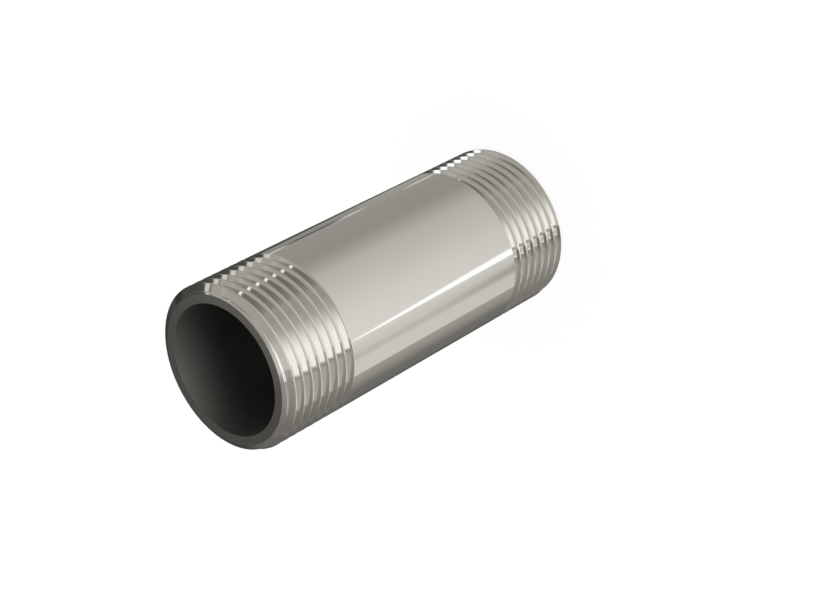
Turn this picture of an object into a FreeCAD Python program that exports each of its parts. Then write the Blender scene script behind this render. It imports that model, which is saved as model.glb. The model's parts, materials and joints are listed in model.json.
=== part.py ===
"""Threaded extension nipple: one length of steel pipe with a screw thread cut on each end.

The pipe stands on its lower end face. Its axis is Z and the middle of that face is the origin.
Sizes are in millimetres and degrees.
"""
import FreeCAD, Part
import Sketcher
import os

doc = FreeCAD.newDocument("extension_nipple")

# Driving sizes, each named once.
SIZES = {
    "outside_diameter": 33.4,
    "wall_thickness": 3.5,
    "overall_length": 80.7,
    "end_land": 1.8,
    "end_chamfer_angle": 60,
    "thread_length": 17.75,
    "thread_pitch": 2.209,
    "thread_depth": 1.36,
    "crest_width": 0.33,
    "runout_angle": 30,
    "cutter_overrun": 0.1,
}

sheet = doc.addObject("Spreadsheet::Sheet", "Sizes")
for row, (alias, value) in enumerate(SIZES.items(), start=1):
    sheet.set(f"A{row}", alias)
    sheet.set(f"B{row}", str(value))
    sheet.setAlias(f"B{row}", alias)
doc.recompute()

# The tube's section: radii from the axis, and the bevel that leads each thread in.
OUTSIDE_RADIUS = "Sizes.outside_diameter / 2"
BORE_RADIUS = f"{OUTSIDE_RADIUS} - Sizes.wall_thickness"
END_RADIUS = f"{BORE_RADIUS} + Sizes.end_land"
CHAMFER_LENGTH = "(Sizes.wall_thickness - Sizes.end_land) / tan(Sizes.end_chamfer_angle * 1 deg)"
LENGTH = "Sizes.overall_length"

# The groove is a V, and the metal left between its turns is the flat-topped crest.
# The cutter is a little taller than the groove, so that it runs out past the crests.
HALF_GROOVE = "(Sizes.thread_pitch - Sizes.crest_width) / 2"
CUTTER_HEIGHT = "(Sizes.thread_depth + Sizes.cutter_overrun)"
HALF_CUTTER = f"{HALF_GROOVE} * {CUTTER_HEIGHT} / Sizes.thread_depth"
ROOT_RADIUS = f"{OUTSIDE_RADIUS} - Sizes.thread_depth"
CUTTER_RADIUS = f"{ROOT_RADIUS} + {CUTTER_HEIGHT}"

# Each thread's last full groove lies against the barrel, and from there the cutter pulls out.
LAST_GROOVE = f"Sizes.thread_length - {HALF_GROOVE}"
RUNOUT_TURNS = "Sizes.runout_angle / 360"


def origin_feature(body, role):
    """Return the body's own origin plane or axis that has this role."""
    return next(feature for feature in body.Origin.OriginFeatures if feature.Role == role)


def closed_outline(body, name, plane, corners):
    """Sketch a closed outline on an origin plane, each corner bound to its two formulas."""
    sketch = body.newObject("Sketcher::SketchObject", name)
    sketch.AttachmentSupport = [(origin_feature(body, plane), "")]
    sketch.MapMode = "FlatFace"
    places = [FreeCAD.Vector(sheet.evalExpression(x), sheet.evalExpression(y), 0) for x, y in corners]
    lines = [Part.LineSegment(start, end) for start, end in zip(places, places[1:] + places[:1])]
    sketch.addGeometry(lines, False)
    for line in range(len(lines)):
        sketch.addConstraint(Sketcher.Constraint("Coincident", line, 2, (line + 1) % len(lines), 1))
    for line, formulas in enumerate(corners):
        for kind, formula, distance in zip(("DistanceX", "DistanceY"), formulas, places[line]):
            if formula == "0":
                sketch.addConstraint(Sketcher.Constraint("PointOnObject", line, 1, -1))
            else:
                datum = sketch.addConstraint(Sketcher.Constraint(kind, -1, 1, line, 1, distance))
                sketch.setExpression(f"Constraints[{datum}]", formula)
    return sketch


def revolved_tube(body):
    """Turn the wall's section once round the axis: bore, two end faces, two bevels and the barrel."""
    section = closed_outline(body, "WallSection", "XZ_Plane", [
        (BORE_RADIUS, "0"),
        (END_RADIUS, "0"),
        (OUTSIDE_RADIUS, CHAMFER_LENGTH),
        (OUTSIDE_RADIUS, f"{LENGTH} - {CHAMFER_LENGTH}"),
        (END_RADIUS, LENGTH),
        (BORE_RADIUS, LENGTH),
    ])
    tube = body.newObject("PartDesign::Revolution", "Tube")
    tube.Profile = section
    tube.ReferenceAxis = (origin_feature(body, "Z_Axis"), [""])
    tube.Angle = 360


def helical_cut(body, name, outline, mode, formulas, runs_down):
    """Carry the groove's outline along a right-hand helix and cut it away."""
    cut = body.newObject("PartDesign::SubtractiveHelix", name)
    cut.Profile = outline
    cut.ReferenceAxis = (origin_feature(body, "Z_Axis"), [""])
    cut.Mode = mode
    for size, formula in formulas.items():
        cut.setExpression(size, formula)
    cut.LeftHanded = False
    cut.Reversed = runs_down


def cut_thread(body, name, middle, runs_down):
    """Cut one end's thread out past its end face, then let the groove fade out against the barrel."""
    outline = closed_outline(body, f"{name}Groove", "YZ_Plane", [
        (ROOT_RADIUS, middle),
        (CUTTER_RADIUS, f"{middle} - {HALF_CUTTER}"),
        (CUTTER_RADIUS, f"{middle} + {HALF_CUTTER}"),
    ])
    helical_cut(body, name, outline, "pitch-height-angle", {
        "Pitch": "Sizes.thread_pitch",
        "Height": f"{LAST_GROOVE} + {HALF_CUTTER} + Sizes.cutter_overrun",
    }, runs_down)
    helical_cut(body, f"{name}Runout", outline, "height-turns-growth", {
        "Turns": RUNOUT_TURNS,
        "Height": f"Sizes.thread_pitch * {RUNOUT_TURNS}",
        "Growth": f"{CUTTER_HEIGHT} / ({RUNOUT_TURNS})",
    }, not runs_down)


body = doc.addObject("PartDesign::Body", "Nipple")
body.Label = "threaded_nipple"
revolved_tube(body)
cut_thread(body, "TopThread", f"{LENGTH} - ({LAST_GROOVE})", runs_down=False)
cut_thread(body, "BottomThread", LAST_GROOVE, runs_down=True)
doc.recompute()

for item in doc.Objects:
    if "Invalid" in item.State or "Error" in item.State:
        raise RuntimeError(f"{item.Name} failed: {item.State}")
if body.Shape.isNull() or not body.Shape.isValid():
    raise RuntimeError(f"{body.Label} has no valid shape")

os.makedirs("parts", exist_ok=True)
body.Shape.exportStep(f"parts/{body.Label}.step")
print(body.Label, "volume", round(body.Shape.Volume, 2), "faces", len(body.Shape.Faces))
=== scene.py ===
"""Looks of a threaded extension nipple: one length of bright steel pipe with a thread on each end.

The pipe stands on its lower end face, +Z up, in metres, in the frame of its solid. The faceted
solid is replaced by a finely turned surface of the same sizes, and each stretch of that surface
gets the finish that its making leaves: a drawn and polished barrel, cut threads, faced ends and
a dull bore. The bore's colour is darker than the steel's: partly a duller skin, partly painted
shade of the inside of the pipe.
"""

import json
import logging
import math
from dataclasses import dataclass
from enum import Enum, IntEnum

import bmesh
import bpy
import numpy as np
from mathutils import Matrix, Vector


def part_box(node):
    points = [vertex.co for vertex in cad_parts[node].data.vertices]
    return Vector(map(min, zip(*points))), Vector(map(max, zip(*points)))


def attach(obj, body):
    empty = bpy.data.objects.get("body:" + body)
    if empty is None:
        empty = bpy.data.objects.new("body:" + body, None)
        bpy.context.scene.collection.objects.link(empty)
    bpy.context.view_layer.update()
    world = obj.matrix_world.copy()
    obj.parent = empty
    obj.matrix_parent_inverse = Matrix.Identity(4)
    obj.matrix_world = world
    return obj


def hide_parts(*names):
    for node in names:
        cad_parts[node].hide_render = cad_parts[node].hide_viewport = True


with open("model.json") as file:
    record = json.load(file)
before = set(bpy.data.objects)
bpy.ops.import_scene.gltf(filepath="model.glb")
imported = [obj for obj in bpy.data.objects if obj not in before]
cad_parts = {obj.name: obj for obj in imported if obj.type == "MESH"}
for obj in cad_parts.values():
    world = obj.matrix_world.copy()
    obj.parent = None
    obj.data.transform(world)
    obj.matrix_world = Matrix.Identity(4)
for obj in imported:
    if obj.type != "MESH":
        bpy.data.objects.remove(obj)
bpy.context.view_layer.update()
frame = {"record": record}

log = logging.getLogger("nipple")

NODE = "threaded_nipple"
BODY = "root"
PIECE = "nipple_surface"
MM = 0.001


class Finish(IntEnum):
    """The stretches of the pipe that are finished in different ways, in material order."""

    BARREL = 0
    THREAD = 1
    END = 2
    BORE = 3


class Grain(Enum):
    """Which way the fine marks of a finish run."""

    LENGTHWISE = "lengthwise"
    TURNED = "turned"


@dataclass(frozen=True)
class PipeSizes:
    """Sizes of the pipe, in metres and radians."""

    outside_radius: float
    bore_radius: float
    length: float
    thread_length: float
    thread_pitch: float = 2.209 * MM
    thread_depth: float = 1.36 * MM
    crest_width: float = 0.33 * MM
    flank_angle: float = math.radians(30)
    end_land: float = 1.8 * MM
    chamfer_angle: float = math.radians(60)
    runout_angle: float = math.radians(30)
    cutter_overrun: float = 0.1 * MM
    crest_rounding: float = 0.06 * MM
    root_rounding: float = 0.12 * MM
    edge_break: float = 0.1 * MM
    bore_edge_break: float = 0.02 * MM

    @classmethod
    def from_frame(cls, record: dict) -> "PipeSizes":
        """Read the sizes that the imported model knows.

        Args:
            record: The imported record, with the mounts of the pipe.

        Returns:
            The sizes, with the thread's own form left at its fixed values.
        """
        low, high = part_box(NODE)
        mounts = {mount["name"]: mount for mount in record["mounts"]}
        return cls(
            outside_radius=mounts["barrel"]["dims"]["r_mm"] * MM,
            bore_radius=mounts["pipe_bore"]["dims"]["r_mm"] * MM,
            length=high[2] - low[2],
            thread_length=mounts["top_thread"]["dims"]["length_mm"] * MM,
        )

    @property
    def half_groove(self) -> float:
        """Half the width of the groove where it meets the crests."""
        return (self.thread_pitch - self.crest_width) / 2

    @property
    def half_root(self) -> float:
        """Half the width of the groove's flat root."""
        return self.half_groove - self.thread_depth * math.tan(self.flank_angle)

    @property
    def end_radius(self) -> float:
        """Outer radius of the flat end face."""
        return self.bore_radius + self.end_land

    @property
    def chamfer_slope(self) -> float:
        """Fall of the radius along the chamfer for each unit of height."""
        return math.tan(self.chamfer_angle)

    @property
    def last_groove(self) -> float:
        """Height of the last full groove's middle, where its run-out starts."""
        return self.length - self.thread_length + self.half_groove

    @property
    def runout_turns(self) -> float:
        """Length of the run-out, in turns."""
        return self.runout_angle / math.tau


def rounded_corner(before: np.ndarray, corner: np.ndarray, after: np.ndarray,
                   radius: float, steps: int) -> np.ndarray:
    """Round one corner of a profile.

    The arc touches both sides at radius times the tangent of half the turn from the corner. Its
    points turn evenly about the centre, which lies on the corner's bisector.

    Args:
        before: A point on the side that comes in.
        corner: The corner itself.
        after: A point on the side that goes out.
        radius: Radius of the arc.
        steps: Number of chords.

    Returns:
        The steps + 1 points of the arc, as rows of two coordinates.
    """
    inward = (corner - before) / np.linalg.norm(corner - before)
    outward = (after - corner) / np.linalg.norm(after - corner)
    turn = math.atan2(inward[0] * outward[1] - inward[1] * outward[0], inward @ outward)
    reach = radius * math.tan(abs(turn) / 2)
    side = math.copysign(1.0, turn) * np.array([-inward[1], inward[0]])
    centre = corner - inward * reach + side * radius
    angles = np.linspace(0.0, turn, steps + 1)
    start = -side * radius
    return centre + np.stack([
        start[0] * np.cos(angles) - start[1] * np.sin(angles),
        start[0] * np.sin(angles) + start[1] * np.cos(angles),
    ], axis=1)


@dataclass(frozen=True)
class ThreadedNipple:
    """The whole pipe as one closed surface, worked out on a grid of rows and columns.

    Points closer than the weld distance are joined. A face counts as lying on the barrel or on
    the chamfer within the nearness. Both are in metres, and the sharp angle is in radians. The
    least fall stands in where a clearance doesn't change, because nothing divides by zero.
    """

    sizes: PipeSizes
    columns: int = 360
    crest_steps: int = 2
    root_steps: int = 2
    barrel_rows: int = 8
    bore_rows: int = 12
    weld_distance: float = 0.5e-6
    nearness: float = 2e-6
    least_fall: float = 1e-12
    sharp_angle: float = math.radians(12)

    @property
    def turn(self) -> np.ndarray:
        """Share of a whole turn at each column, from 0 to 1."""
        return np.linspace(0.0, 1.0, self.columns + 1)

    @property
    def azimuth(self) -> np.ndarray:
        """Angle of each column about the axis, which starts at the run-out's side."""
        return math.pi / 2 + self.turn * math.tau

    def groove_profile(self) -> np.ndarray:
        """Work out the groove from crest to crest, with rounded crest edges and root corners.

        Returns:
            Rows of (offset along the pipe from the groove's middle, depth below the crests).
        """
        sizes = self.sizes
        crest_in = np.array([-sizes.half_groove, 0.0])
        crest_out = np.array([sizes.half_groove, 0.0])
        root_in = np.array([-sizes.half_root, sizes.thread_depth])
        root_out = np.array([sizes.half_root, sizes.thread_depth])
        level = np.array([sizes.thread_pitch, 0.0])
        return np.concatenate([
            rounded_corner(crest_in - level, crest_in, root_in,
                           sizes.crest_rounding, self.crest_steps),
            rounded_corner(crest_in, root_in, root_out, sizes.root_rounding, self.root_steps),
            rounded_corner(root_in, root_out, crest_out, sizes.root_rounding, self.root_steps),
            rounded_corner(root_out, crest_out, crest_out + level,
                           sizes.crest_rounding, self.crest_steps),
        ])

    def chamfer_radius(self, height: np.ndarray) -> np.ndarray:
        """Radius of the end's cone: the end face's, plus the slope times the way down from it."""
        sizes = self.sizes
        return sizes.end_radius + sizes.chamfer_slope * (sizes.length - height)

    def plain_thread(self) -> tuple[np.ndarray, np.ndarray]:
        """Work out the upper thread as if the pipe's end had no chamfer.

        The groove's middle climbs one pitch a turn. Its depth is full from turn 0 upward, and
        before that it shrinks evenly as the cutter pulls out. Each row keeps its place in the
        groove's profile, so it climbs with the thread.

        Returns:
            Heights and radii, each of shape (turns, profile points, columns).
        """
        sizes = self.sizes
        profile = self.groove_profile()
        offset, depth = profile[:, 0], profile[:, 1]
        turns = math.ceil(sizes.thread_length / sizes.thread_pitch) + 2
        turn_number = np.arange(-1, turns)[:, None] + self.turn[None, :]
        cutter_height = sizes.thread_depth + sizes.cutter_overrun
        lift = np.clip(-turn_number / sizes.runout_turns, 0.0, 1.0) * cutter_height
        share = np.clip(1.0 - lift / sizes.thread_depth, 0.0, 1.0)
        middle = sizes.last_groove + sizes.thread_pitch * turn_number

        height = middle[:, None, :] + share[:, None, :] * offset[None, :, None]
        radius = sizes.outside_radius - share[:, None, :] * depth[None, :, None]
        return height, radius

    def thread_rows(self) -> tuple[np.ndarray, np.ndarray]:
        """Work out the upper thread with the chamfer cut through it.

        One more row on each flank and on each crest lies where the chamfer's cone cuts it. The
        radius is the smaller of the thread's and the cone's, and heights stop at the end face
        and at the first turn's start.

        Returns:
            Heights and radii, each of shape (rows, columns).
        """
        sizes = self.sizes
        height, radius = self.plain_thread()
        root_first = self.crest_steps + 1
        root_last = root_first + 2 * self.root_steps + 1
        falling = self.cone_crossing(height, radius, self.crest_steps, root_first)
        rising = self.cone_crossing(height, radius, root_last, root_last + 1)
        cone_top = sizes.length - (sizes.outside_radius - sizes.end_radius) / sizes.chamfer_slope
        following = np.concatenate([height[1:, 0], height[-1:, 0] + sizes.thread_pitch])
        crest_height = np.clip(cone_top, height[:, -1], following)
        crest = (crest_height, np.full_like(crest_height, sizes.outside_radius))

        height, radius = (
            np.concatenate([
                grid[:, :root_first], on_falling[:, None], grid[:, root_first:root_last + 1],
                on_rising[:, None], grid[:, root_last + 1:], on_crest[:, None],
            ], axis=1).reshape(-1, grid.shape[-1])
            for grid, on_falling, on_rising, on_crest in zip((height, radius), falling, rising, crest)
        )
        height = np.clip(height, sizes.last_groove - sizes.thread_pitch, sizes.length)
        return height, np.minimum(radius, self.chamfer_radius(height))

    def cone_crossing(self, height: np.ndarray, radius: np.ndarray, start: int,
                      end: int) -> tuple[np.ndarray, np.ndarray]:
        """Find where the chamfer's cone cuts the straight flank between two rows of each turn.

        The share of the way along the flank is the cone's clearance at its start, divided by
        how much that clearance falls along it, and it stays between the two rows.

        Args:
            height: Heights of shape (turns, profile points, columns).
            radius: Radii of the same shape.
            start: Profile point at which the flank starts.
            end: Profile point at which it ends.

        Returns:
            Height and radius of the crossing, each of shape (turns, columns).
        """
        clear_start = self.chamfer_radius(height[:, start]) - radius[:, start]
        clear_end = self.chamfer_radius(height[:, end]) - radius[:, end]
        fall = clear_start - clear_end
        way = clear_start / np.where(np.abs(fall) < self.least_fall, self.least_fall, fall)
        way = np.clip(way, 0.0, 1.0)
        return (height[:, start] + way * (height[:, end] - height[:, start]),
                radius[:, start] + way * (radius[:, end] - radius[:, start]))

    def upper_half(self) -> tuple[np.ndarray, np.ndarray, np.ndarray]:
        """Work out the rows from the barrel's middle over the thread and end, and down the bore.

        Returns:
            Heights and radii of shape (rows, columns), and the finish of the strip after each row.
        """
        sizes = self.sizes
        ones = np.ones_like(self.turn)
        middle = sizes.length / 2
        thread_height, thread_radius = self.thread_rows()
        barrel = np.linspace(middle, sizes.last_groove - sizes.thread_pitch, self.barrel_rows)
        bore = np.linspace(sizes.length - sizes.bore_edge_break, middle, self.bore_rows)
        land = [sizes.end_radius - sizes.edge_break, sizes.bore_radius + sizes.bore_edge_break]
        height = np.concatenate([
            np.outer(barrel, ones), thread_height,
            np.outer([sizes.length] * len(land), ones), np.outer(bore, ones),
        ])
        radius = np.concatenate([
            np.outer([sizes.outside_radius] * len(barrel), ones), thread_radius,
            np.outer(land, ones), np.outer([sizes.bore_radius] * len(bore), ones),
        ])
        finish = np.concatenate([
            np.full(len(barrel), Finish.BARREL), np.full(len(thread_height) - 1, Finish.THREAD),
            np.full(len(land), Finish.END), np.full(len(bore) + 1, Finish.BORE),
        ])
        return height, radius, finish

    def build(self) -> bpy.types.Object:
        """Make the pipe's mesh: the upper half and the same half turned over about the Y axis.

        A point lies at radius times the cosine and sine of its column's azimuth, at its row's
        height. Turning over changes the sign of x and counts the height from the other end.

        Returns:
            The pipe as one object whose faces carry the number of their finish.
        """
        sizes = self.sizes
        height, radius, finish = self.upper_half()
        rows, columns = height.shape
        x, y = radius * np.cos(self.azimuth), radius * np.sin(self.azimuth)
        upper = np.stack([x, y, height], axis=-1).reshape(-1, 3)
        lower = upper * np.array([-1.0, 1.0, -1.0]) + np.array([0.0, 0.0, sizes.length])
        points = np.concatenate([upper, lower])

        corner = (np.arange(rows - 1)[:, None] * columns + np.arange(columns - 1)).ravel()
        quads = np.stack([corner, corner + 1, corner + columns + 1, corner + columns], axis=1)
        quads = np.concatenate([quads, quads + len(upper)])
        strip = np.repeat(finish[:-1], columns - 1)
        strip = np.concatenate([strip, strip])
        for surface in (Finish.BARREL, Finish.END):
            strip[self.on_barrel_or_cone(points, quads, strip, surface)] = surface

        mesh = bpy.data.meshes.new(NODE)
        mesh.from_pydata(points.tolist(), [], quads.tolist())
        mesh.polygons.foreach_set("material_index", strip.astype(np.int32))
        self.weld(mesh)
        piece = bpy.data.objects.new(PIECE, mesh)
        bpy.context.scene.collection.objects.link(piece)
        return piece

    def on_barrel_or_cone(self, points: np.ndarray, quads: np.ndarray, strip: np.ndarray,
                          finish: Finish) -> np.ndarray:
        """Tell which faces of the thread's rows really lie on the barrel or on the chamfer.

        A face lies on the cone where all its corners have the cone's radius, and on the barrel
        where they have the outside radius and stand clear of the thread's turns.

        Args:
            points: Corner points.
            quads: Corner numbers of each face.
            strip: Finish of each face by its row.
            finish: BARREL or END.

        Returns:
            True for each face that belongs to that finish.
        """
        sizes = self.sizes
        radius = np.hypot(points[:, 0], points[:, 1])[quads]
        height = np.abs(points[:, 2] - sizes.length / 2)[quads] + sizes.length / 2
        if finish is Finish.END:
            found = np.abs(radius - self.chamfer_radius(height)) < self.nearness
        else:
            found = (radius > sizes.outside_radius - self.nearness) & (height < sizes.last_groove)
        return found.all(axis=1) & (strip == Finish.THREAD)

    def weld(self, mesh: bpy.types.Mesh) -> None:
        """Join what coincides, turn the faces outward and mark the true edges as sharp.

        Args:
            mesh: The pipe's mesh, which is changed in place.
        """
        shape = bmesh.new()
        shape.from_mesh(mesh)
        bmesh.ops.remove_doubles(shape, verts=shape.verts, dist=self.weld_distance)
        bmesh.ops.recalc_face_normals(shape, faces=shape.faces)
        shape.to_mesh(mesh)
        shape.free()
        mesh.polygons.foreach_set("use_smooth", np.ones(len(mesh.polygons), dtype=bool))
        mesh.set_sharp_from_angle(angle=self.sharp_angle)
        mesh.validate()

    def dress(self, piece: bpy.types.Object, shop: "SteelShop") -> None:
        """Give the pipe its four finishes, in the order of their numbers."""
        for finish in Finish:
            piece.data.materials.append(shop.material(FINISHES[finish]))


class NodeBuilder:
    """Short calls that add and join shader nodes in one tree.

    Blender's Mix node has sockets for numbers and for colours. The constants give the places of
    the share and the two values among its inputs, and of the result among its outputs.
    """

    MIXED_NUMBERS = (0, 2, 3)
    NUMBER_RESULT = 0
    MIXED_COLOURS = (0, 6, 7)
    COLOUR_RESULT = 2

    def __init__(self, tree: bpy.types.NodeTree) -> None:
        """Keep the tree that the nodes go into."""
        self.tree = tree

    def add(self, kind: str, **settings: object) -> bpy.types.Node:
        """Add one node and set its properties.

        Args:
            kind: Blender's name of the node's type.
            settings: Properties of the node.

        Returns:
            The new node.
        """
        node = self.tree.nodes.new(kind)
        for name, value in settings.items():
            setattr(node, name, value)
        return node

    def feed(self, socket: bpy.types.NodeSocket, value: object) -> None:
        """Join an output to a socket, or set the socket where the value is a constant.

        Args:
            socket: The input that gets the value.
            value: An output socket or a constant.
        """
        if isinstance(value, bpy.types.NodeSocket):
            self.tree.links.new(value, socket)
        else:
            socket.default_value = value

    def math(self, operation: str, *values: object, clamp: bool = False) -> bpy.types.NodeSocket:
        """Work out one number from up to three others.

        Args:
            operation: Blender's name of the operation.
            values: Sockets or numbers.
            clamp: Whether the result stays between 0 and 1.

        Returns:
            The result's socket.
        """
        node = self.add("ShaderNodeMath", operation=operation, use_clamp=clamp)
        for socket, value in zip(node.inputs, values):
            self.feed(socket, value)
        return node.outputs[0]

    def vector(self, operation: str, *values: object) -> bpy.types.NodeSocket:
        """Work out one vector from others.

        Args:
            operation: Blender's name of the operation.
            values: Sockets or triples.

        Returns:
            The result's socket.
        """
        node = self.add("ShaderNodeVectorMath", operation=operation)
        for socket, value in zip(node.inputs, values):
            self.feed(socket, value)
        return node.outputs[0]

    def mix(self, share: object, first: object, second: object) -> bpy.types.NodeSocket:
        """Mix two colours by a share from 0 to 1.

        Args:
            share: Share of the second colour.
            first: First colour, or its socket.
            second: Second colour, or its socket.

        Returns:
            The mixed colour's socket.
        """
        node = self.add("ShaderNodeMix", data_type="RGBA")
        for place, value in zip(self.MIXED_COLOURS, (share, first, second)):
            self.feed(node.inputs[place], value)
        return node.outputs[self.COLOUR_RESULT]

    def blend(self, share: object, first: object, second: object) -> bpy.types.NodeSocket:
        """Mix two numbers by a share from 0 to 1, as first plus share times their difference.

        Args:
            share: Share of the second number.
            first: First number, or its socket.
            second: Second number, or its socket.

        Returns:
            The mixed number's socket.
        """
        node = self.add("ShaderNodeMix", data_type="FLOAT")
        for place, value in zip(self.MIXED_NUMBERS, (share, first, second)):
            self.feed(node.inputs[place], value)
        return node.outputs[self.NUMBER_RESULT]

    def ramp(self, value: object, low: object, high: object) -> bpy.types.NodeSocket:
        """Rise smoothly from 0 at low to 1 at high.

        Args:
            value: The number that is looked at.
            low: Where the rise starts.
            high: Where it ends.

        Returns:
            The smooth step's socket.
        """
        node = self.add("ShaderNodeMapRange", interpolation_type="SMOOTHSTEP")
        for socket, number in zip(node.inputs, (value, low, high, 0.0, 1.0)):
            self.feed(socket, number)
        return node.outputs[0]

    def split(self, vector: object) -> list[bpy.types.NodeSocket]:
        """Take a vector apart.

        Args:
            vector: The vector's socket.

        Returns:
            The sockets of its three numbers.
        """
        node = self.add("ShaderNodeSeparateXYZ")
        self.feed(node.inputs[0], vector)
        return list(node.outputs)

    def join(self, x: object, y: object, z: object) -> bpy.types.NodeSocket:
        """Put three numbers together.

        Args:
            x: First number, or its socket.
            y: Second number, or its socket.
            z: Third number, or its socket.

        Returns:
            The vector's socket.
        """
        node = self.add("ShaderNodeCombineXYZ")
        for socket, value in zip(node.inputs, (x, y, z)):
            self.feed(socket, value)
        return node.outputs[0]

    def noise(self, place: object, scale: object, detail: float,
              roughness: float = 0.5) -> bpy.types.NodeSocket:
        """Look up soft noise between 0 and 1 at a place.

        Args:
            place: The place's vector.
            scale: Waves per unit of the place, or their socket.
            detail: Number of finer layers.
            roughness: Weight of the finer layers.

        Returns:
            The noise's socket.
        """
        node = self.add("ShaderNodeTexNoise")
        values = {"Vector": place, "Scale": scale, "Detail": detail, "Roughness": roughness}
        for name, value in values.items():
            self.feed(node.inputs[name], value)
        return node.outputs["Fac"]

    def use(self, group: bpy.types.NodeTree, **values: object) -> bpy.types.Node:
        """Place a node group.

        Args:
            group: The group's tree.
            values: Its inputs by name, with a _ for each space.

        Returns:
            The group's node.
        """
        node = self.add("ShaderNodeGroup", node_tree=group)
        for name, value in values.items():
            self.feed(node.inputs[name.replace("_", " ")], value)
        return node


class GroupBuilder(NodeBuilder):
    """A shader node group with named inputs and outputs."""

    def __init__(self, name: str, inputs: dict[str, str], outputs: dict[str, str]) -> None:
        """Make the group's sockets.

        Args:
            name: Name of the group.
            inputs: Type of each input by its name, such as Float or Vector.
            outputs: The same for the outputs.
        """
        super().__init__(bpy.data.node_groups.new(name, "ShaderNodeTree"))
        for in_out, sockets in (("INPUT", inputs), ("OUTPUT", outputs)):
            for socket, kind in sockets.items():
                self.tree.interface.new_socket(socket, in_out=in_out, socket_type=f"NodeSocket{kind}")
        self.inputs = self.add("NodeGroupInput").outputs
        self.outputs = self.add("NodeGroupOutput").inputs


@dataclass(frozen=True)
class SteelFinish:
    """One finish of the steel: its colour, gloss and the fine marks that its making leaves.

    Colours are linear. Marks are counted per metre across their run and patches per metre each
    way, and relief is the height of the marks' bump in metres. The dull colour and roughness are
    those of full marks and patches.
    """

    name: str
    grain: Grain
    metallic: float
    colour: tuple[float, float, float, float]
    dull_colour: tuple[float, float, float, float]
    roughness: float
    dull_roughness: float
    marks_per_metre: float
    relief: float
    patches_per_metre: float


STEEL = (0.648, 0.629, 0.586, 1.0)
FINISHES = {
    Finish.BARREL: SteelFinish(
        name="polished_drawn_steel", grain=Grain.LENGTHWISE, metallic=1.0, colour=STEEL,
        dull_colour=(0.630, 0.611, 0.567, 1.0), roughness=0.045, dull_roughness=0.09,
        marks_per_metre=2600.0, relief=0.03e-6, patches_per_metre=70.0,
    ),
    Finish.THREAD: SteelFinish(
        name="cut_thread_steel", grain=Grain.TURNED, metallic=1.0, colour=STEEL,
        dull_colour=(0.605, 0.585, 0.54, 1.0), roughness=0.04, dull_roughness=0.10,
        marks_per_metre=9000.0, relief=0.03e-6, patches_per_metre=110.0,
    ),
    Finish.END: SteelFinish(
        name="faced_end_steel", grain=Grain.TURNED, metallic=1.0, colour=STEEL,
        dull_colour=(0.60, 0.58, 0.54, 1.0), roughness=0.07, dull_roughness=0.13,
        marks_per_metre=7000.0, relief=0.05e-6, patches_per_metre=160.0,
    ),
    # The bore's dark colour is partly a duller skin and partly painted shade of the inside of the pipe.
    Finish.BORE: SteelFinish(
        name="dull_bore_steel_painted_shade", grain=Grain.LENGTHWISE, metallic=0.93, colour=(0.20, 0.193, 0.180, 1.0),
        dull_colour=(0.17, 0.163, 0.152, 1.0), roughness=0.49, dull_roughness=0.56,
        marks_per_metre=900.0, relief=1.5e-6, patches_per_metre=90.0,
    ),
}


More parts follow.
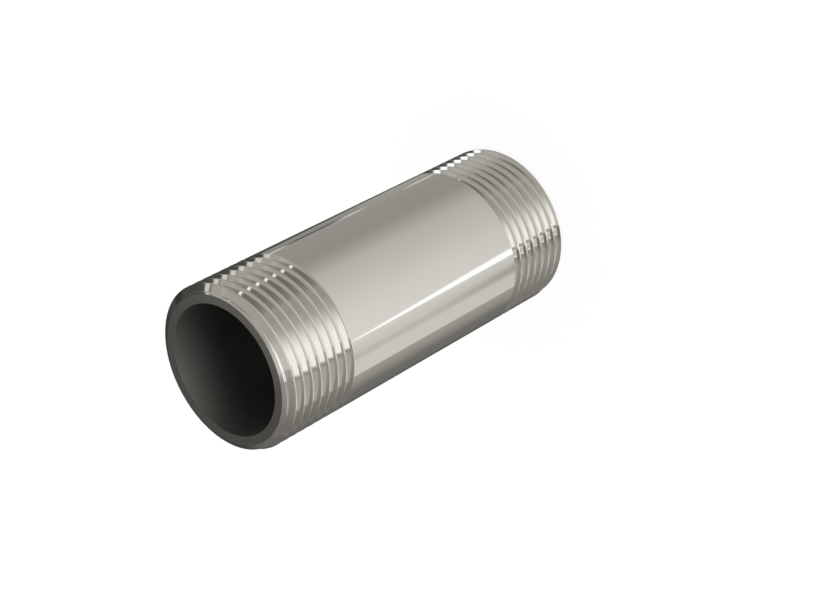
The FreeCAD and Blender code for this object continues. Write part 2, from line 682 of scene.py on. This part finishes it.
class SteelShop:
    """Makes the materials of the four finishes from three shared effects.

    The drawn grain counts the height by HEIGHT_WEIGHT and adds a broad noise, coarser by
    BROAD_SCALE, to the fine one. Noise becomes a mask between the two values of its range. Marks
    and patches dull the gloss by their shares.
    """

    HEIGHT_WEIGHT = 0.012
    BROAD_SCALE = 0.12
    FINE_SHARE = 0.6
    BROAD_SHARE = 0.4
    MARKS_RANGE = (0.3, 0.7)
    PATCHES_RANGE = (0.42, 0.75)
    MARKS_SHARE = 0.45
    PATCHES_SHARE = 0.55

    def __init__(self) -> None:
        """Build the shared effects once."""
        self.grains = {Grain.LENGTHWISE: self.drawn_grain(), Grain.TURNED: self.turned_grain()}
        self.patches = self.handling()

    def drawn_grain(self) -> bpy.types.NodeTree:
        """Streaks that run up the pipe: noise on a place whose height counts for very little.

        Returns:
            A group that turns a position into a mask of marks.
        """
        group = GroupBuilder("drawn_grain", {"Position": "Vector", "Marks per metre": "Float"},
                             {"Marks": "Float"})
        place = group.vector("MULTIPLY", group.inputs["Position"], (1.0, 1.0, self.HEIGHT_WEIGHT))
        fine_scale = group.inputs["Marks per metre"]
        fine = group.noise(place, fine_scale, detail=3.0, roughness=0.65)
        broad = group.noise(place, group.math("MULTIPLY", fine_scale, self.BROAD_SCALE), detail=2.0)
        both = group.math("ADD", group.math("MULTIPLY", fine, self.FINE_SHARE),
                          group.math("MULTIPLY", broad, self.BROAD_SHARE))
        group.feed(group.outputs["Marks"], group.ramp(both, *self.MARKS_RANGE))
        return group.tree

    def turned_grain(self) -> bpy.types.NodeTree:
        """Rings round the pipe: noise on the distance from the axis and the height alone.

        Returns:
            A group that turns a position into a mask of marks.
        """
        group = GroupBuilder("turned_grain", {"Position": "Vector", "Marks per metre": "Float"},
                             {"Marks": "Float"})
        x, y, z = group.split(group.inputs["Position"])
        radius = group.math("SQRT", group.math("ADD", group.math("MULTIPLY", x, x),
                                               group.math("MULTIPLY", y, y)))
        fine = group.noise(group.join(radius, z, 0.0), group.inputs["Marks per metre"],
                           detail=2.0, roughness=0.6)
        group.feed(group.outputs["Marks"], group.ramp(fine, *self.MARKS_RANGE))
        return group.tree

    def handling(self) -> bpy.types.NodeTree:
        """Soft patches where hands and storage have dulled the gloss: broad noise with soft edges.

        Returns:
            A group that turns a position into a mask of patches.
        """
        group = GroupBuilder("handling", {"Position": "Vector", "Patches per metre": "Float"},
                             {"Patches": "Float"})
        broad = group.noise(group.inputs["Position"], group.inputs["Patches per metre"],
                            detail=4.0, roughness=0.6)
        group.feed(group.outputs["Patches"], group.ramp(broad, *self.PATCHES_RANGE))
        return group.tree

    def material(self, finish: SteelFinish) -> bpy.types.Material:
        """Make one finish's material.

        Marks and patches both dull the gloss, the darker colour shows a little in them, and the
        marks stand up as a very low bump.

        Args:
            finish: The finish.

        Returns:
            The material.
        """
        material = bpy.data.materials.new(finish.name)
        material.use_nodes = True
        nodes = NodeBuilder(material.node_tree)
        shader = material.node_tree.nodes["Principled BSDF"]
        shader.inputs["Metallic"].default_value = finish.metallic
        position = nodes.add("ShaderNodeTexCoord").outputs["Object"]
        marks = nodes.use(self.grains[finish.grain], Position=position,
                          Marks_per_metre=finish.marks_per_metre).outputs["Marks"]
        patches = nodes.use(self.patches, Position=position,
                            Patches_per_metre=finish.patches_per_metre).outputs["Patches"]
        dulled = nodes.math("ADD", nodes.math("MULTIPLY", marks, self.MARKS_SHARE),
                            nodes.math("MULTIPLY", patches, self.PATCHES_SHARE), clamp=True)
        nodes.feed(shader.inputs["Base Color"],
                   nodes.mix(dulled, finish.colour, finish.dull_colour))
        nodes.feed(shader.inputs["Roughness"],
                   nodes.blend(dulled, finish.roughness, finish.dull_roughness))
        bump = nodes.add("ShaderNodeBump")
        bump.inputs["Distance"].default_value = finish.relief
        nodes.feed(bump.inputs["Height"], marks)
        nodes.feed(shader.inputs["Normal"], bump.outputs["Normal"])
        return material


@dataclass(frozen=True)
class LightPanel:
    """One panel that the bright steel mirrors, as a window of directions with soft edges.

    Places are in degrees. Left and right are counted from the side that faces the camera, against
    the turn of the azimuth, and bottom and top are heights over the horizon. An edge past the
    half turn, the zenith or the nadir is no edge. A lean moves an edge by that much for each
    degree of height above the panel's bottom, and a softness is the width of an edge's fade.
    """

    name: str
    light: float
    left: float
    right: float
    bottom: float = -100.0
    top: float = 100.0
    left_softness: float = 1.5
    right_softness: float = 1.5
    rim_softness: float = 1.5
    left_lean: float = 0.0
    right_lean: float = 0.0


# Each panel lies over the ones before it.
STUDIO_PANELS = (
    LightPanel("side_card", 0.42, -165, 0, top=2, left_softness=12, rim_softness=6),
    LightPanel("side_card_glow", 0.56, -158, 0, bottom=-34, top=12, left_softness=66, rim_softness=6),
    LightPanel("side_card_upper", 0.56, -119, 0, bottom=2, top=34, left_softness=3, rim_softness=6),
    LightPanel("far_wall", 0.20, 60, 168, top=34, right_softness=28, rim_softness=8),
    LightPanel("far_corner", 0.49, 60, 136, top=34, right_softness=42, rim_softness=8),
    LightPanel("near_wall", 0.70, -84, 98.5, top=34, left_softness=43, rim_softness=8),
    LightPanel("near_wall_glow", 1.035, -60, 98.5, top=34, left_softness=97, rim_softness=8),
    LightPanel("right_wall", 0.90, 44, 98.5, top=34, left_softness=14, rim_softness=8),
    LightPanel("curtain_gap", 0.75, 60, 77, top=-30, left_softness=9, right_softness=7, rim_softness=6),
    LightPanel("curtain_fold", 0.39, 55, 78, top=-41, left_softness=12, right_softness=10,
               rim_softness=6),
    LightPanel("mid_shade", 0.375, -92, -20, bottom=-30, top=12, left_softness=14, right_softness=44,
               rim_softness=6),
    LightPanel("mid_wall", 0.72, -40, -14, bottom=-30, top=12, left_softness=1.2, right_softness=14,
               rim_softness=6),
    LightPanel("softbox", 2.25, -13, 52, bottom=-32, top=12, left_softness=40, right_softness=3,
               rim_softness=5),
    LightPanel("dark_gap", 0.12, -74, 62, bottom=17, top=32, left_softness=6, right_softness=2,
               rim_softness=2),
    LightPanel("softbox_end", 1.25, 41, 49, bottom=-15, top=14, rim_softness=1),
    LightPanel("softbox_stand", 0.75, 35.5, 41.5, bottom=-15, top=14, rim_softness=1),
    LightPanel("softbox_shadow", 0.64, 52.5, 59, bottom=-19, top=14, right_softness=6, left_lean=-0.4),
    LightPanel("low_window", 1.9, 28.2, 47.5, bottom=-50, top=-38.6, left_lean=1.6, rim_softness=1),
    LightPanel("thin_lamp", 2.2, -80.5, -75.5, bottom=-12, top=0, left_lean=-0.35, right_lean=-0.35),
    LightPanel("card_fold", 0.34, -153, -133, bottom=-42, top=-30),
    LightPanel("corner_shade", 0.09, -220, -163.5, bottom=-46, top=-30, right_softness=4,
               right_lean=2.0),
    LightPanel("slot_shade", 0.13, -138, -130.5, bottom=-40.7, top=-38.8, right_softness=3,
               rim_softness=0.4),
    LightPanel("slot_upper", 1.1, -135, -130.5, bottom=-39.0, top=-37.6, rim_softness=0.4),
    LightPanel("slot_middle", 1.1, -135, -130.5, bottom=-41.5, top=-40.5, rim_softness=0.4),
    LightPanel("slot_lower", 1.1, -134, -129.5, bottom=-43.8, top=-42.6, rim_softness=0.4),
    LightPanel("ceiling", 0.53, -127, 98, bottom=32, left_softness=3, right_softness=8, rim_softness=6),
    LightPanel("ceiling_edge", 0.62, -118, -94, bottom=34, top=50, left_softness=3, right_softness=6,
               rim_softness=4),
    LightPanel("ceiling_glow", 0.82, -40, -8, bottom=32, left_softness=125, right_softness=5,
               rim_softness=6, right_lean=2.45),
    LightPanel("right_beam", 0.42, 58, 160, bottom=24, top=67, left_softness=3, right_softness=70,
               rim_softness=3),
    LightPanel("beam_shade", 0.26, 30, 89, bottom=34, top=66, right_softness=10, left_lean=1.0),
    LightPanel("high_lamp_edge", 0.93, -130.5, -118, bottom=31.5, top=37, rim_softness=0.8),
    LightPanel("high_lamp", 1.9, -125, -118, bottom=28, top=37, rim_softness=0.8),
    LightPanel("back_card_right", 0.158, 178.3, 200, bottom=35.6, top=60, left_softness=0.6,
               rim_softness=0.8),
    LightPanel("back_card_left", 0.158, -200, -172, bottom=35.6, top=60, rim_softness=0.8),
    LightPanel("back_floor_right", 0.065, 120, 200, bottom=-30, top=8, left_softness=60,
               rim_softness=6),
    LightPanel("back_floor_left", 0.05, -200, -125, bottom=-30, top=8, right_softness=50,
               rim_softness=6),
    LightPanel("left_corner", 0.085, -166, -120.5, bottom=-4, top=32, left_softness=4, right_softness=3,
               rim_softness=6),
    LightPanel("corner_stand", 0.045, -157, -147, bottom=4, top=12.5, left_softness=2, right_softness=2,
               rim_softness=2),
    LightPanel("ground_shade", 0.50, -84, 124, bottom=-200, top=-37, left_softness=24,
               right_softness=14, rim_softness=26),
)


@dataclass(frozen=True)
class Studio:
    """The pale floor and the light round the pipe.

    Everything but the bright steel sees plain white light. What the steel mirrors is a studio of
    soft panels, which the world shows to glossy rays alone. Seen from above, the steel mirrors
    what lies below it, so the panels go on under the floor, which glossy rays pass.

    The front is the azimuth from which the panels' turns are counted, in radians, and the floor's
    radius is in metres. Dark panels are a little warm and bright ones a little cool: the tint
    passes from one to the next as the light goes through each of the two ranges.
    """

    panels: tuple[LightPanel, ...] = STUDIO_PANELS
    front: float = math.radians(-150)
    room_light: float = 0.10
    dark_tint: tuple[float, float, float, float] = (1.015, 1.0, 0.945, 1.0)
    wall_tint: tuple[float, float, float, float] = (1.0, 1.0, 0.985, 1.0)
    lamp_tint: tuple[float, float, float, float] = (0.96, 1.0, 1.08, 1.0)
    dark_to_wall: tuple[float, float] = (0.3, 1.0)
    wall_to_lamp: tuple[float, float] = (1.0, 1.8)
    floor_radius: float = 0.9
    floor_segments: int = 128
    floor_glow: float = 0.88
    floor_colour: tuple[float, float, float, float] = (0.14, 0.14, 0.14, 1.0)

    def panel_group(self) -> bpy.types.NodeTree:
        """Make the shared window mask.

        It is the product of four smooth steps: two that rise at the left and the bottom, and two
        that fall at the right and the top.

        Returns:
            A group that lays one panel over the light behind it.
        """
        names = ("Turn", "Height", "Behind", "Light", "Left", "Right", "Bottom", "Top",
                 "Left softness", "Right softness", "Rim softness", "Left lean", "Right lean")
        group = GroupBuilder("studio_panel", dict.fromkeys(names, "Float"), {"Light": "Float"})
        into = group.inputs
        above = group.math("SUBTRACT", into["Height"], into["Bottom"])
        left = group.math("MULTIPLY_ADD", into["Left lean"], above, into["Left"])
        right = group.math("MULTIPLY_ADD", into["Right lean"], above, into["Right"])
        rises = (
            group.ramp(into["Turn"], left, group.math("ADD", left, into["Left softness"])),
            group.ramp(group.math("SUBTRACT", right, into["Turn"]), 0.0, into["Right softness"]),
            group.ramp(above, 0.0, into["Rim softness"]),
            group.ramp(group.math("SUBTRACT", into["Top"], into["Height"]), 0.0, into["Rim softness"]),
        )
        mask = rises[0]
        for rise in rises[1:]:
            mask = group.math("MULTIPLY", mask, rise)
        group.feed(group.outputs["Light"], group.blend(mask, into["Behind"], into["Light"]))
        return group.tree

    def build_world(self) -> None:
        """Make the world: plain white light, and the panels one over the other for glossy rays.

        A direction's turn is the arctangent of its two level parts, counted from the front, and
        its height is the arcsine of its upright part.
        """
        world = bpy.data.worlds.new("studio")
        world.use_nodes = True
        world.cycles.sampling_method = "NONE"
        bpy.context.scene.world = world
        nodes = NodeBuilder(world.node_tree)
        plain = world.node_tree.nodes["Background"]
        plain.inputs["Color"].default_value = (1.0, 1.0, 1.0, 1.0)

        turned = nodes.add("ShaderNodeMapping", vector_type="POINT")
        turned.inputs["Rotation"].default_value = (0.0, 0.0, -self.front)
        nodes.feed(turned.inputs["Vector"], nodes.add("ShaderNodeTexCoord").outputs["Generated"])
        x, y, z = nodes.split(nodes.vector("NORMALIZE", turned.outputs["Vector"]))
        turn = nodes.math("DEGREES", nodes.math("ARCTAN2", nodes.math("MULTIPLY", y, -1.0), x))
        height = nodes.math("DEGREES", nodes.math("ARCSINE", z))
        group = self.panel_group()
        light = self.room_light
        for panel in self.panels:
            light = nodes.use(
                group, Turn=turn, Height=height, Behind=light, Light=panel.light,
                Left=panel.left, Right=panel.right, Bottom=panel.bottom, Top=panel.top,
                Left_softness=panel.left_softness, Right_softness=panel.right_softness,
                Rim_softness=panel.rim_softness,
                Left_lean=panel.left_lean, Right_lean=panel.right_lean,
            ).outputs["Light"]
            log.info("panel %s", panel.name)

        tint = nodes.mix(nodes.ramp(light, *self.dark_to_wall), self.dark_tint, self.wall_tint)
        tint = nodes.mix(nodes.ramp(light, *self.wall_to_lamp), tint, self.lamp_tint)
        mirrored = nodes.add("ShaderNodeBackground")
        nodes.feed(mirrored.inputs["Color"], tint)
        nodes.feed(mirrored.inputs["Strength"], light)
        chosen = nodes.add("ShaderNodeMixShader")
        nodes.feed(chosen.inputs[0], nodes.add("ShaderNodeLightPath").outputs["Is Glossy Ray"])
        nodes.feed(chosen.inputs[1], plain.outputs[0])
        nodes.feed(chosen.inputs[2], mirrored.outputs[0])
        nodes.feed(world.node_tree.nodes["World Output"].inputs["Surface"], chosen.outputs[0])

    def build_floor(self) -> None:
        """Make the floor: a pale disc that glows white and keeps a faint shadow of the pipe.

        Its rim's points are the radius times the cosine and sine of evenly spaced angles.
        """
        angles = np.linspace(0.0, math.tau, self.floor_segments, endpoint=False)
        rim = np.stack([np.cos(angles), np.sin(angles), np.zeros_like(angles)], axis=1)
        rim = rim * self.floor_radius
        mesh = bpy.data.meshes.new("floor")
        mesh.from_pydata(rim.tolist(), [], [list(range(self.floor_segments))])
        floor = bpy.data.objects.new("floor", mesh)
        floor.visible_glossy = False
        bpy.context.scene.collection.objects.link(floor)
        material = bpy.data.materials.new("white_floor")
        material.use_nodes = True
        shader = material.node_tree.nodes["Principled BSDF"]
        shader.inputs["Base Color"].default_value = self.floor_colour
        shader.inputs["Specular IOR Level"].default_value = 0.0
        shader.inputs["Roughness"].default_value = 1.0
        shader.inputs["Emission Color"].default_value = (1.0, 1.0, 1.0, 1.0)
        nodes = NodeBuilder(material.node_tree)
        seen = nodes.add("ShaderNodeLightPath").outputs["Is Camera Ray"]
        glow = nodes.math("MULTIPLY", seen, self.floor_glow)
        nodes.feed(shader.inputs["Emission Strength"], glow)
        mesh.materials.append(material)

    def build(self) -> None:
        """Make the light and the floor."""
        self.build_world()
        self.build_floor()


@dataclass(frozen=True)
class OpeningLamp:
    """A small round lamp at the mouth of the bore, which lights the wall across from it.

    It stands for the light that falls into the pipe from the front. The camera and the bright
    steel don't see it. Turn is counted as for the panels and tilt lifts the beam, both in degrees.
    The other sizes are in metres, and the power in watts.
    """

    turn: float = 13.0
    reach: float = 0.016
    rise: float = 0.005
    tilt: float = 4.5
    size: float = 0.012
    spread: float = 64.0
    power: float = 0.0105

    def build(self, front: float, opening: float) -> None:
        """Hang the lamp over the front of the mouth, with its beam turned to the wall behind.

        Args:
            front: The azimuth from which turns are counted, in radians.
            opening: The height of the bore's mouth, in metres.
        """
        lamp = bpy.data.lights.new("opening_lamp", "AREA")
        lamp.shape = "DISK"
        lamp.size = self.size
        lamp.spread = math.radians(self.spread)
        lamp.energy = self.power
        holder = bpy.data.objects.new("opening_lamp", lamp)
        holder.visible_camera = False
        holder.visible_glossy = False
        azimuth = front - math.radians(self.turn)
        outward = Vector((math.cos(azimuth), math.sin(azimuth), 0.0))
        tilt = math.radians(self.tilt)
        holder.location = outward * self.reach + Vector((0.0, 0.0, opening + self.rise))
        beam_back = outward * math.cos(tilt) - Vector((0.0, 0.0, math.sin(tilt)))
        holder.rotation_euler = beam_back.to_track_quat("Z", "Y").to_euler()
        bpy.context.scene.collection.objects.link(holder)


@dataclass(frozen=True)
class PhotoCamera:
    """The camera of the picture, placed by the point that it aims at.

    Azimuth and elevation are those of its line of sight, and the roll turns the frame about that
    line. Aim, distance and clips are in metres, lens and sensor in millimetres, angles in degrees.
    """

    aim: tuple[float, float, float] = (-2.673 * MM, 4.443 * MM, 32.033 * MM)
    distance: float = 400.215 * MM
    azimuth: float = 31.0258
    elevation: float = -41.4091
    roll: float = -118.5971
    lens: float = 87.787
    sensor: float = 36.0
    near_clip: float = 0.01
    far_clip: float = 20.0

    def build(self) -> None:
        """Make the camera, set it back from its aim along the line of sight, and use it."""
        data = bpy.data.cameras.new("photo_camera")
        data.lens = self.lens
        data.sensor_width = self.sensor
        data.clip_start = self.near_clip
        data.clip_end = self.far_clip
        camera = bpy.data.objects.new("photo_camera", data)
        bpy.context.scene.collection.objects.link(camera)
        azimuth, elevation = math.radians(self.azimuth), math.radians(self.elevation)
        forward = Vector((math.cos(azimuth) * math.cos(elevation),
                          math.sin(azimuth) * math.cos(elevation), math.sin(elevation)))
        level = forward.cross(Vector((0.0, 0.0, 1.0))).normalized()
        upright = Matrix((level, level.cross(forward), -forward)).transposed()
        rolled = upright @ Matrix.Rotation(math.radians(self.roll), 3, "Z")
        stand = Matrix.Translation(Vector(self.aim) - forward * self.distance)
        camera.matrix_world = stand @ rolled.to_4x4()
        bpy.context.scene.camera = camera


def main() -> None:
    """Build the pipe, the studio and the camera in order, and report each piece."""
    logging.basicConfig(level=logging.INFO, format="%(message)s")
    bpy.context.scene.view_settings.view_transform = "Standard"

    sizes = PipeSizes.from_frame(frame["record"])
    nipple = ThreadedNipple(sizes)
    piece = nipple.build()
    nipple.dress(piece, SteelShop())
    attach(piece, BODY)
    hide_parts(NODE)
    vertices, faces = len(piece.data.vertices), len(piece.data.polygons)
    log.info("%s: %d vertices, %d faces", piece.name, vertices, faces)

    studio = Studio()
    studio.build()
    OpeningLamp().build(studio.front, sizes.length)
    PhotoCamera().build()


if __name__ == "__main__":
    main()
